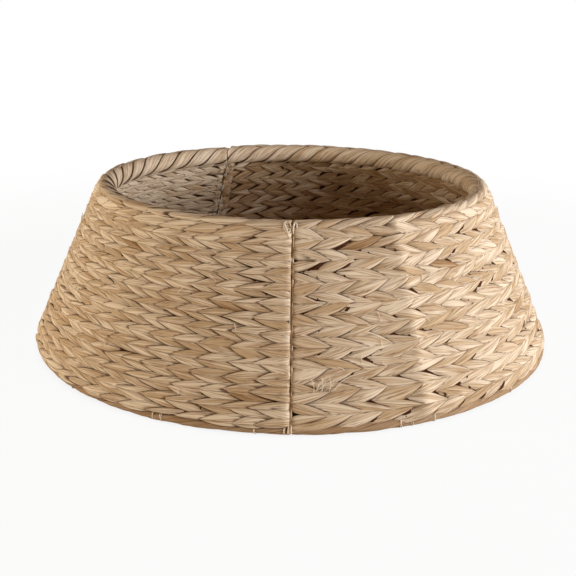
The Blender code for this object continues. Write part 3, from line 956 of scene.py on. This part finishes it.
def straight_tube(tubes, path, radius, sides=8, tone=0.5, seed=0.0):
    """A round tube along a path."""
    path = np.asarray(path, float)
    ahead = np.gradient(path, axis=0)
    ahead /= np.linalg.norm(ahead, axis=-1, keepdims=True)
    guide = np.array([0.0, 0.0, 1.0]) if abs(ahead[0, 2]) < 0.8 else np.array([1.0, 0.0, 0.0])
    side = np.cross(ahead, guide)
    side /= np.linalg.norm(side, axis=-1, keepdims=True)
    other = np.cross(side, ahead)
    angle = np.arange(sides) * full_turn / sides
    thick = np.broadcast_to(radius, len(path))[:, None, None]
    ring = side[:, None] * np.cos(angle)[None, :, None] + other[:, None] * np.sin(angle)[None, :, None]
    rings = path[:, None] + ring * thick
    run = np.concatenate([[0], np.cumsum(np.linalg.norm(np.diff(path, axis=0), axis=-1))])
    tubes.add(rings, (run[:, None], (angle - pi) * 0.002, seed), (tone, 1, 0))


stake_radius = 0.0013
stake_low, stake_high = binding_slant + 0.004, rim_slant - 0.003


class COLLAR_OT_stakes(bpy.types.Operator):
    """Sets a wire stake at each stitch inside the weave"""

    bl_idname = "collar.stakes"
    bl_label = "Stakes"

    def execute(self, context):
        right, left = right_side(context.scene), left_side(context.scene)
        groups = (
            ("flap_stakes", "flap", right, range(1, 4)),
            ("right_stakes", "right_panel", right, range(5, 34)),
            ("left_stakes", "left_panel", left, range(1, 27)),
        )
        for name, body, side, stitches in groups:
            tubes = Tubes()
            for stitch in stitches:
                slant = np.linspace(stake_low, stake_high, 7)
                turn = np.array([side.turns(stitch, section(height, 0.0)[0]) for height in slant])
                straight_tube(tubes, wall_points(turn, slant, 0 * slant), stake_radius, seed=stitch * 0.3)
            add_piece(context.scene, tubes, name, "stake wire", body)
        return {"FINISHED"}


# Where the points of a rolled strand's section lie round it
strand_round = np.concatenate([np.linspace(-1.62, 1.62, 15), [2.2, pi, 4.08]])
# Steps in a turn of a roll, how many chances a strand draws, and their effect on width, height and surface
roll_steps = 28
draws = 400
chance_size, chance_rise, chance_groove = 0.06, 0.08, 0.06
# Where round a roll its strands lie steepest and where it is dented, and how wide that dent is
steepest_at, dented_at, dent_width = radians(20), radians(-15), radians(55)
# A roll's strands, the length of a turn, their slope and its change round the roll in degrees, half a
# strand's thickness, the roll's radius, a strand's tilt, its width and how far the roll is dented
Roll = namedtuple("Roll", "strands lead slope thick outer tilt swell dent")


def rolled(tubes, centre, span, roll, seed, floor=None):
    """Flat strands rolled round a rail like a rope. Each end of the span is an azimuth and the stop there."""
    rng = np.random.default_rng(seed)
    tube_radius, tube_height, tube_normal = centre
    strands, lead, slope, thick, outer, tilt, swell, dent = roll
    (start_turn, start_stop), (end_turn, end_stop) = span
    start, end = start_turn * tube_radius, end_turn * tube_radius
    grid = np.linspace(0, full_turn, 241)
    pace = 1 / np.tan(radians(slope[0]) - radians(slope[1]) * np.cos(grid - steepest_at))
    progress = np.concatenate([[0], np.cumsum((pace[1:] + pace[:-1]) / 2)])
    progress /= progress[-1]
    half = lead / strands / 2 * swell
    angle = strand_round
    for strand in range(strands):
        first = int(np.floor(((start - half) / lead - strand / strands) * roll_steps)) - 1
        last = int(np.ceil(((end + half) / lead - strand / strands) * roll_steps)) + 1
        lay = np.arange(first, last + 1) / roll_steps
        whole = np.floor(lay)
        x = (whole + np.interp((lay - whole) * full_turn, grid, progress) + strand / strands) * lead
        keep = (x > start - half) & (x < end + half)
        x, lay = x[keep], lay[keep]
        theta = lay * full_turn
        step = np.arange(len(x)) / (roll_steps / 2)
        size = 1 + chance_size * drift(rng.normal(size=draws), step)
        lift = 1 + chance_rise * drift(rng.normal(size=draws), step + 0.4)
        groove = 1 + chance_groove * np.stack([drift(rng.normal(size=draws), step * 2) for _ in angle], -1)
        turn = (x[:, None] + half * size[:, None] * np.sin(angle)) / tube_radius
        from_dent = (theta - dented_at + pi) % full_turn - pi
        swelling = 1 - dent * np.exp(-((from_dent / dent_width) ** 2))
        deep = outer * swelling[:, None] - thick + thick * lift[:, None] * rounded(angle, 0.45) * groove
        deep = deep + tilt * np.sin(angle)
        for narrowing in (True, False):
            out, up = deep * np.cos(theta)[:, None], deep * np.sin(theta)[:, None]
            radius = tube_radius + out * cos(wall_lean) - up * sin(wall_lean)
            low = start_turn + start_stop(tube_normal + out) / radius
            high = end_turn - end_stop(tube_normal + out) / radius
            held = np.clip(turn, low, high)
            if narrowing:
                over = np.abs(turn - held) * tube_radius / (2.2 * half)
                deep = deep * np.sqrt(np.clip(1 - over**2, 0.02, 1))
        height = tube_height + out * sin(wall_lean) + up * cos(wall_lean)
        if floor is not None:
            height = np.maximum(height, floor)
        rings = round_axis(held, radius, height)
        run = np.arange(len(x)) * np.hypot(full_turn * outer / roll_steps, lead / roll_steps)
        place = (run[:, None], np.sin(angle) * half * 0.5, strand * 0.41 + rng.random())
        tone = drift(np.clip(rng.normal(0.55, 0.2, draws), 0.2, 1), step * 0.5)
        # Painted shade: parts of a strand lying deep in the roll are darker, and its edges are browned and
        # shaded
        painted_shade_depth = np.clip(deep / outer * 3 - 1.8, 0, 1)
        tubes.add(rings, place, (tone[:, None], painted_shade_depth, browned_and_shaded_edge(angle)))


def plain_stop(distance):
    """A square end at a distance from where the span starts."""
    return lambda normal: distance + 0 * normal


def both_edges(stop):
    """For each wall's edge: its label, its span, and its body, or none where it crosses the fold."""
    yield "broad", ((0.0, stop), (swing_azimuth, fixed_stop)), None
    yield "left", ((swing_azimuth, moving_stop), (full_turn, stop)), "left_panel"


rim_centre = (*section(rim_slant, rim_normal), rim_normal)
rim_roll = Roll(
    strands=4, lead=0.146, slope=(35, 15), thick=0.0023, outer=0.0132, tilt=0.0013, swell=1.12, dent=0.2)
rim_end = 0.0168
by_wrap = plain_stop(0.0165)
at_seam = plain_stop(0.0005)
binding_stop = plain_stop(0.00015)
binding_centre = (section(binding_slant, 0.0)[0], 0.0052, 0.0)
binding_roll = Roll(
    strands=2, lead=0.11, slope=(22, 0), thick=0.0028, outer=0.0052, tilt=0.0003, swell=1.15, dent=0.0)


class COLLAR_OT_rims(bpy.types.Operator):
    """Rolls strands over the top rail of each panel"""

    bl_idname = "collar.rims"
    bl_label = "Rolled Rims"

    def execute(self, context):
        scene = context.scene
        stands_for = {"broad": ("right_rim_braid", "flap_rim_braid"), "left": ("left_rim_braid",)}
        sides = (right_side(scene), left_side(scene))
        for seed, side, (label, span, body) in zip((71, 72), sides, both_edges(by_wrap)):
            tubes = Tubes()
            rolled(tubes, rim_centre, span, rim_roll, seed)
            for row in top_rows(side):
                leaf_row(tubes, side, row, scene.weave_sizes)
            add_piece(scene, tubes, f"{label}_rim_roll", "rim strand", body, stands_for[label])
        return {"FINISHED"}


class COLLAR_OT_end_wraps(bpy.types.Operator):
    """Winds a strand over the rim's end on each side of the seam"""

    bl_idname = "collar.end_wraps"
    bl_label = "Rim End Wraps"

    def execute(self, context):
        reach = rim_end / rim_centre[0]
        for name, start, end, body, seed in (
            ("left", full_turn - reach, full_turn, "left_panel", 81),
            ("flap", 0.0, reach, "flap", 82),
        ):
            tubes = Tubes()
            rolled(tubes, rim_centre, ((start, at_seam), (end, at_seam)), rim_roll, seed)
            add_piece(
                context.scene, tubes, f"{name}_end_winding", "rim strand", body,
                (f"{name}_rim_end_wrap",))
        return {"FINISHED"}


class COLLAR_OT_bindings(bpy.types.Operator):
    """Lays the brown binding along the bottom rail"""

    bl_idname = "collar.bindings"
    bl_label = "Bottom Bindings"

    def execute(self, context):
        stands_for = {
            "broad": ("right_bottom_binding", "flap_bottom_binding"), "left": ("left_bottom_binding",)}
        for seed, (label, span, body) in zip((91, 92), both_edges(binding_stop)):
            tubes = Tubes()
            rolled(tubes, binding_centre, span, binding_roll, seed, floor=0.0)
            add_piece(
                context.scene, tubes, f"{label}_bottom_strand", "binding strand", body,
                stands_for[label])
        return {"FINISHED"}


# A tape's stitches: how far apart, how far off it, the thread's radius, and how far in from its edges
stitch_pitch = 0.0034
stitch_height = 0.0003
thread_radius = 0.00032
sewn_margin = 0.0035


def tape_strip(tubes, shifts, layer, middle, width):
    """A flat strip inside the wall with rounded edges, as a run of sections along the seam's circle."""
    inner, outer = layer
    shift = np.linspace(*shifts, 25)
    half, deep = width / 2, (outer - inner) / 2
    bevel = min(deep * 0.8, 0.0006)
    outline = []
    for corner, (across, out) in enumerate(((1, 1), (-1, 1), (-1, -1), (1, -1))):
        for step in range(3):
            turn = corner * pi / 2 + step * pi / 4
            corner_across = across * (half - bevel) + bevel * cos(turn)
            outline.append((corner_across, out * (deep - bevel) + bevel * sin(turn)))
        if across * out > 0:
            outline += [(-across * half * share, out * deep) for share in (-0.6, -0.2, 0.2, 0.6)]
    outline = np.array(outline)
    slant = middle + outline[:, 0]
    normal = (inner + outer) / 2 + outline[:, 1] + 0 * shift[:, None]
    turn = shift[:, None] / section(slant, normal)[0]
    tubes.add(wall_points(turn, slant, normal), (slant, shift[:, None], normal), (1, 1, 1))


def sewn_line(tubes, shifts, slants, normal):
    """A line of small stitches on a tape's inner face."""
    long = np.hypot(shifts[1] - shifts[0], slants[1] - slants[0])
    count = max(2, round(long / stitch_pitch))
    for number in range(count):
        part = (number + np.array([0.08, 0.3, 0.56, 0.78])) / count
        shift = shifts[0] + (shifts[1] - shifts[0]) * part
        slant = slants[0] + (slants[1] - slants[0]) * part
        rise = normal - stitch_height * np.array([-0.6, 1, 1, -0.6])
        path = wall_points(shift / section(slant, rise)[0], slant, rise)
        straight_tube(tubes, path, thread_radius, sides=5)


# A tab's parts: the body, if not the tab's own, the slot, its ends past the seam, its depths and its width
tab_parts = (
    ("base", "flap", "tab_tape", (0.00405, 0.03005), (-0.014779, -0.00985), 0.040),
    ("strap", "", "tab_tape", (0.003, -0.036), (-0.014779, -0.013279), 0.040),
    ("hook_patch", "", "hook_tape", (-0.00975, -0.033), (-0.012979, -0.011779), 0.034),
    ("loop_patch", "left_panel", "loop_tape", (-0.00975, -0.033), (-0.011479, -0.010279), 0.034),
)


class COLLAR_OT_tabs(bpy.types.Operator):
    """Sews the hook-and-loop tabs inside the seam"""

    bl_idname = "collar.tabs"
    bl_label = "Seam Tabs"

    def execute(self, context):
        for tab, middle in zip(("lower_tab", "upper_tab"), tab_slants):
            for part, body, slot, shifts, layer, width in tab_parts:
                tubes = Tubes()
                tape_strip(tubes, shifts, layer, middle, width)
                if slot == "tab_tape":
                    edge = width / 2 - sewn_margin
                    low, high = min(shifts) + sewn_margin, max(shifts) - sewn_margin
                    for along, across in (
                        ((low, high), (-edge, -edge)), ((low, high), (edge, edge)),
                        ((low, low), (-edge, edge)), ((high, high), (-edge, edge)),
                    ):
                        sewn_line(tubes, along, (middle + across[0], middle + across[1]), layer[0])
                add_piece(
                    context.scene, tubes, f"{tab}_{part}_tape", slot.replace("_", " "), body or tab,
                    (f"{tab}_{part}",))
        return {"FINISHED"}


twine_radius = 0.0009
twine_steps, twine_rounding = 5, 1.35
fray_radius = 0.00038
# How far from a body's ends frayed fibres start, in radians
fray_margin = 0.03
# A lashing's radius, turns, reach round the binding and that reach's ripple, its advance and its sway
lashing_radius, lashing_turns = 0.0006, 2
lashing_reach, lashing_ripple = 0.0055, 0.0001
lashing_advance, lashing_sway = 0.00026, 0.0008
# For each body: its first and last azimuth, and the azimuths of its lashings in degrees
lashed = {
    "flap": (0.0, fold_azimuth, (20.3, 22.6)),
    "right_panel": (fold_azimuth, swing_azimuth, (27.4, 49.0, 77.5, 96.0, 121.0, 140.5, 166.0, 190.0)),
    "left_panel": (
        swing_azimuth, full_turn, (216.0, 243.5, 262.0, 288.0, 311.5, 334.0, 335.6, 353.5, 358.9)),
}
# Frayed fibres that the photograph shows: degrees from the seam and millimetres up the wall
frayed = [(18.7, 122), (18.5, 95), (18.9, 72), (14, 78), (30.5, 115), (30.5, 160)]
# The low tuft on the flap: where its fibres stop, and how much longer they are
tuft_azimuth, tuft_height, tuft_longer = 9, 54, 5
# The knots at the seam: millimetres past it, up the wall and out of the leaves' face
knots = {
    "right_panel": (),
    "left_panel": (
        ((-1.6, -2.6, -5.6, -8.6, -9.4, -7.6, -4.4, -1.8), (231, 236, 239, 237, 232, 227, 225, 228),
         (0, 0.8, 1.0, 0.8, 0.4, 0.8, 1.0, 0.2)),
        ((-8.8, -7.6, -5.0, -2.6), (238, 232, 226, 219), (0.2, 1.6, 1.4, 0.2)),
    ),
    "flap": (((0.9, 1.4, 3.0, 4.6, 5.2), (224, 232, 238, 236, 230), (0, 0.8, 1.0, 0.8, 0)),),
}


def twine(tubes, shifts, slants, lifts, start, radius):
    """Thin twine on the outside of the wall through points given in millimetres, from a starting azimuth."""
    steps = np.linspace(0, len(shifts) - 1, twine_steps * len(shifts))
    weights = np.maximum(twine_rounding - np.abs(steps[:, None] - np.arange(len(shifts))), 0) ** 2
    weights /= weights.sum(1, keepdims=True)
    shift, slant, lift = (weights @ np.array(values, float) / 1000 for values in (shifts, slants, lifts))
    slant, normal = over_rim(slant, leaf_face + lift)
    path = wall_points(start + shift / section(slant, normal)[0], slant, normal)
    straight_tube(tubes, path, radius, sides=7, tone=1.0, seed=shifts[0] * 0.37)


def lashing(tubes, azimuth):
    """Twine wound round the bottom binding."""
    tube_radius, tube_height, _ = binding_centre
    angle = np.linspace(-0.5, full_turn * lashing_turns - 0.8, 14 * lashing_turns)
    reach = lashing_reach + lashing_ripple * np.sin(3 * angle)
    out, up = reach * np.cos(angle), reach * np.sin(angle)
    shift = angle * lashing_advance + lashing_sway * np.sin(angle * 0.7 + azimuth)
    around = radians(azimuth) + shift / tube_radius
    height = np.maximum(tube_height + out * sin(wall_lean) + up * cos(wall_lean), lashing_radius * 1.5)
    path = round_axis(around, tube_radius + out * cos(wall_lean) - up * sin(wall_lean), height)
    straight_tube(tubes, path, lashing_radius, sides=7, tone=1.0, seed=azimuth * 0.1)


class COLLAR_OT_twine(bpy.types.Operator):
    """Adds the loose knots at the seam, the lashings round the bottom and frayed fibres"""

    bl_idname = "collar.twine"
    bl_label = "Knots, Lashings and Frayed Fibres"

    def execute(self, context):
        rng = np.random.default_rng(57)
        tuft = [(4.0 + 0.32 * number, 49 + 0.9 * (number % 5)) for number in range(13)]
        strewn = list(zip(rng.uniform(3, 357, 60), rng.uniform(20, 215, 60)))
        for body, (first, last, places) in lashed.items():
            tubes = Tubes()
            for azimuth in places:
                lashing(tubes, azimuth)
            for azimuth, height in frayed + tuft + strewn:
                if not first + fray_margin < radians(azimuth) < last - fray_margin:
                    continue
                lean, long, curl = rng.uniform(-1.1, 1.1), rng.uniform(5, 13), rng.uniform(-0.5, 0.5)
                if azimuth < tuft_azimuth and height < tuft_height:
                    lean, long = 0.6 + 0.5 * lean, long + tuft_longer
                run = np.array([0, 0.3, 0.65, 1.0]) * long
                shifts, slants = run * sin(lean) + curl * run**2 / long, height + run * cos(lean)
                twine(tubes, shifts, slants, (-0.9, 0.9, 1.2, 1.5), radians(azimuth), fray_radius)
            for shifts, slants, lifts in knots[body]:
                twine(tubes, shifts, slants, lifts, first if body == "flap" else last, twine_radius)
            add_piece(context.scene, tubes, f"{body}_twine", "twine", body)
        return {"FINISHED"}


class COLLAR_OT_wirework(bpy.types.Operator):
    """Gives the wire frames and hinge rings their metal finish"""

    bl_idname = "collar.wirework"
    bl_label = "Frames and Rings"

    def execute(self, context):
        for name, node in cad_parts.items():
            if name.endswith("_wire_frame"):
                finish = "stake wire"
            elif name.endswith("_ring"):
                finish = "hinge ring wire"
            else:
                continue
            for slot in node.material_slots:
                slot.material = material_for(context.scene, finish)
        return {"FINISHED"}


def seen_plainly(tree):
    """One for rays from the camera and for those that glossy and clear surfaces send on, else nought."""
    path = tree.node("LightPath")
    return (path + path.beside("Is Glossy Ray") + path.beside("Is Transmission Ray")).clamped()


def floor_finish():
    """A white floor: shaded inside the collar, with a faint shadow round it, plain white far off."""
    material, tree = start_material("studio floor")
    place = tree.node("TexCoord", {}, {}, 3)
    reach = tree.node("VectorMath", {"operation": "LENGTH"}, {0: place}, 1)
    share = reach.between(0.30, 0.36) * 0.94 + reach.between(0.6, 1.4) * 0.06
    plain = tree.node("BsdfDiffuse", {}, {"Color": (0.85, 0.85, 0.85, 1)})
    lit = tree.node("Emission", {}, {"Color": (1, 1, 1, 1), "Strength": 1.0})
    surface = tree.node("MixShader", {}, {0: seen_plainly(tree) * share, 1: plain, 2: lit})
    tree.node("OutputMaterial", {}, {"Surface": surface})
    return material


# The stage in metres and radians: floor, lamps and the camera, which was fitted to the photograph's outline
floor_half = 8.0
floor_gap = 0.0004
lamp_aim = Vector((0, 0, 0.1))
cool = (0.96, 1.0, 1.12)
room_colour = (1.0, 0.56, 0.27, 1)
camera_place = (0, -1.2883, 0.4711)
camera_pitch, camera_roll = 0.3120, 0.0133
camera_lens, camera_sensor, camera_shift = 59.80, 36, -0.00596


def add_lamp(name, place, size, power, colour):
    """A soft square lamp that looks at the collar."""
    lamp = bpy.data.lights.new(name, "AREA")
    lamp.color = colour
    lamp.size = size
    lamp.energy = power
    holder = bpy.data.objects.new(name, lamp)
    holder.location = place
    holder.rotation_euler = (lamp_aim - Vector(place)).to_track_quat("-Z", "Y").to_euler()
    bpy.context.scene.collection.objects.link(holder)


class COLLAR_OT_stage(bpy.types.Operator):
    """Sets the floor, the lamps and the camera"""

    bl_idname = "collar.stage"
    bl_label = "Stage"

    def execute(self, context):
        scene = context.scene
        studio = scene.studio_settings
        corners = floor_half * np.array([[-1, -1], [1, -1], [1, 1], [-1, 1]])
        corners = np.column_stack([corners, np.full(4, -floor_gap)])
        mesh_piece("studio_floor", corners, np.arange(4), np.array([4]), floor_finish())
        add_lamp("key_lamp", (2.45, -0.52, 0.586), 0.4, studio.key, cool)
        add_lamp("front_lamp", (1.93, -1.74, 0.46), 0.7, studio.key * 0.66, (1, 0.95, 0.86))
        add_lamp("high_lamp", (1.884, -1.319, 1.428), 0.5, studio.key * 0.47, cool)
        add_lamp("fill_lamp", (-2.51, -0.67, 0.28), 1.0, studio.fill, (1, 0.9, 0.77))
        world = bpy.data.worlds.new("studio_room")
        world.use_nodes = True
        world.node_tree.nodes.clear()
        tree = Signal(world.node_tree)
        seen = seen_plainly(tree)
        colour = seen.tint(room_colour, (1, 1, 1, 1))
        strength = seen * (1 - studio.room) + studio.room
        back = tree.node("Background", {}, {"Color": colour, "Strength": strength})
        tree.node("OutputWorld", {}, {"Surface": back})
        scene.world = world
        camera = bpy.data.cameras.new("photo_camera")
        camera.sensor_width = camera_sensor
        camera.lens = camera_lens
        camera.shift_x = camera_shift
        eye = bpy.data.objects.new("photo_camera", camera)
        eye.matrix_world = (
            Matrix.Translation(camera_place) @ Matrix.Rotation(pi / 2 - camera_pitch, 4, "X")
            @ Matrix.Rotation(camera_roll, 4, "Z"))
        scene.collection.objects.link(eye)
        scene.camera = eye
        scene.view_settings.view_transform = "Standard"
        return {"FINISHED"}


class COLLAR_PT_sidebar(bpy.types.Panel):
    """Lists the collar's groups of pieces"""

    bl_label = "Woven Tree Collar"
    bl_idname = "COLLAR_PT_sidebar"
    bl_space_type = "VIEW_3D"
    bl_region_type = "UI"
    bl_category = "Collar"

    def draw(self, context):
        layout = self.layout
        for group in groups:
            values = getattr(context.scene, group)
            box = layout.box()
            for name in values.__annotations__:
                box.prop(values, name)
        for maker in operators:
            layout.operator(maker.bl_idname)


operators = (
    COLLAR_OT_stage, COLLAR_OT_broad_courses, COLLAR_OT_fine_courses, COLLAR_OT_stakes, COLLAR_OT_rims,
    COLLAR_OT_end_wraps, COLLAR_OT_bindings, COLLAR_OT_twine, COLLAR_OT_tabs, COLLAR_OT_wirework,
)
groups = {"weave_sizes": WeaveSizes, "strand_colours": StrandColours, "studio_settings": StudioSettings}
panels = (COLLAR_PT_sidebar,)


def register():
    """Adds the classes and the scene's settings."""
    for kind in (*groups.values(), *operators, *panels):
        bpy.utils.register_class(kind)
    for name, kind in groups.items():
        setattr(bpy.types.Scene, name, bpy.props.PointerProperty(type=kind))


def unregister():
    """Takes the classes and the scene's settings away."""
    for name in groups:
        delattr(bpy.types.Scene, name)
    for kind in reversed((*groups.values(), *operators, *panels)):
        bpy.utils.unregister_class(kind)


def main():
    """Builds every group of pieces in order."""
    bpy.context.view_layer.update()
    register()
    for maker in operators:
        group, name = maker.bl_idname.split(".")
        getattr(getattr(bpy.ops, group), name)()


if __name__ == "__main__":
    main()
